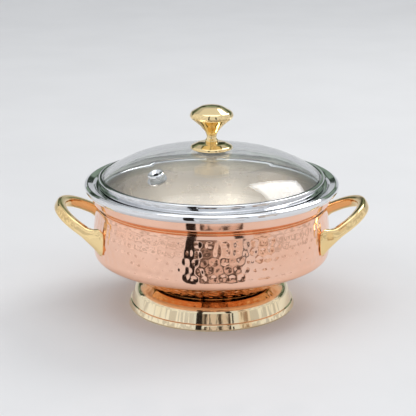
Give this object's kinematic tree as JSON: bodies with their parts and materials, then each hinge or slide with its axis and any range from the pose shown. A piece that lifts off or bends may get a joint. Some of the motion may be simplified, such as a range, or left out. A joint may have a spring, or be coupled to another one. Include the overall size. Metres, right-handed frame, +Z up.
{
  "type": "serving kettle",
  "caption": "Footed double-walled serving kettle: hammered copper shell, steel bowl, brass pedestal and loop handles, domed glass lid that lifts off and turns.",
  "frame": {"origin": "centre of the circle the pedestal stands on", "axes": "+Z up along the bowl's axis; the two handles point along -X and +X; the steam vent is on the -Y side, towards -X"},
  "size_m": [0.2116, 0.17, 0.1378],
  "materials": {
    "steel_bowl": "mirror-polished stainless steel, spun, with fine circular polishing marks",
    "copper_shell": null,
    "brass_pedestal": "polished cast brass",
    "brass_handles": "polished cast brass",
    "brass_knob": "polished turned brass",
    "steel_band": "polished stainless strip, rolled over the glass",
    "steel_vent": "polished stainless steel",
    "steel_fixings": "plain bright steel",
    "lid_glass": "clear tempered glass, faint green at its edge",
    "soft_seals": "translucent white silicone"
  },
  "bodies": {
    "kettle": {"inner_bowl": "steel_bowl", "outer_shell": "copper_shell", "pedestal": "brass_pedestal", "pedestal_bolt": "steel_fixings", "pedestal_washer": "steel_fixings", "pedestal_nut": "steel_fixings", "handle_left": "brass_handles", "handle_right": "brass_handles", "handle_screws_left": "steel_fixings", "handle_screws_right": "steel_fixings", "handle_washers_left": "steel_fixings", "handle_washers_right": "steel_fixings"},
    "lid_carrier": {"knob_washer": "steel_fixings"},
    "lid": {"lid_glass": "lid_glass", "lid_band": "steel_band", "lid_band_seal": "soft_seals", "vent_eyelet": "steel_vent", "vent_top_seal": "soft_seals", "vent_lower_seal": "soft_seals", "vent_washer": "steel_vent", "knob": "brass_knob", "knob_skirt": "brass_knob", "knob_top_gasket": "soft_seals", "knob_under_gasket": "soft_seals", "knob_screw": "steel_fixings"}
  },
  "joints": [
    {"name": "lid_lift", "type": "slide", "parent": "kettle", "child": "lid_carrier", "axis": [0, 0, 1], "range_m": [0, 0.12]},
    {"name": "lid_turn", "type": "hinge", "parent": "lid_carrier", "child": "lid", "pos_m": [0, 0, 0.1], "axis": [0, 0, 1], "continuous": true}
  ]
}
